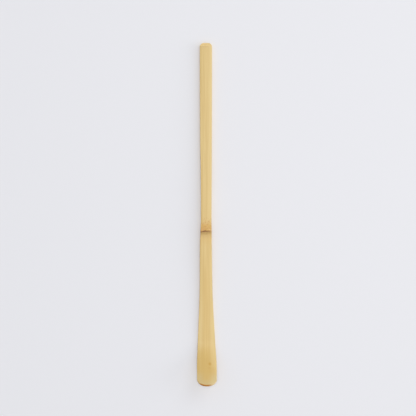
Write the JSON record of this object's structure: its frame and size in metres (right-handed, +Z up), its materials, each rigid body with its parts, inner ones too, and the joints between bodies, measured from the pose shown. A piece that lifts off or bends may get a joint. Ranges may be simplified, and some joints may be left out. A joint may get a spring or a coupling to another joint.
{
  "type": "tea scoop",
  "caption": "Slim bamboo tea scoop: a long narrow strip with a bevelled cut end, a raised node at mid length and a wider upturned tip that lifts powdered tea.",
  "frame": {"origin": "middle of the length, on the surface that the scoop lies on, with X = 0 at the middle of the scoop's widest place", "axes": "+Z up from the surface towards the skin side, +Y along the strip towards the cut end of the handle, the tip at -Y, +X across to the right as seen from above with the handle away"},
  "size_m": [0.0105, 0.1802, 0.0131],
  "materials": {
    "bamboo_skin": "satin, fine lengthwise fibres",
    "bamboo_flesh": "matte, planed, fibrous",
    "node_ridge": "satin, ochre",
    "sheath_scar": "matte, rough, dark brown",
    "diaphragm": "matte, pithy"
  },
  "bodies": {
    "root": {"handle_flesh": "bamboo_flesh", "handle_skin": "bamboo_skin", "node_flesh": "bamboo_flesh", "node_skin": "node_ridge", "sheath_scar": "sheath_scar", "diaphragm_stub": "diaphragm", "blade_flesh": "bamboo_flesh", "blade_skin": "bamboo_skin", "scoop_flesh": "bamboo_flesh", "scoop_skin": "bamboo_skin"}
  },
  "joints": []
}
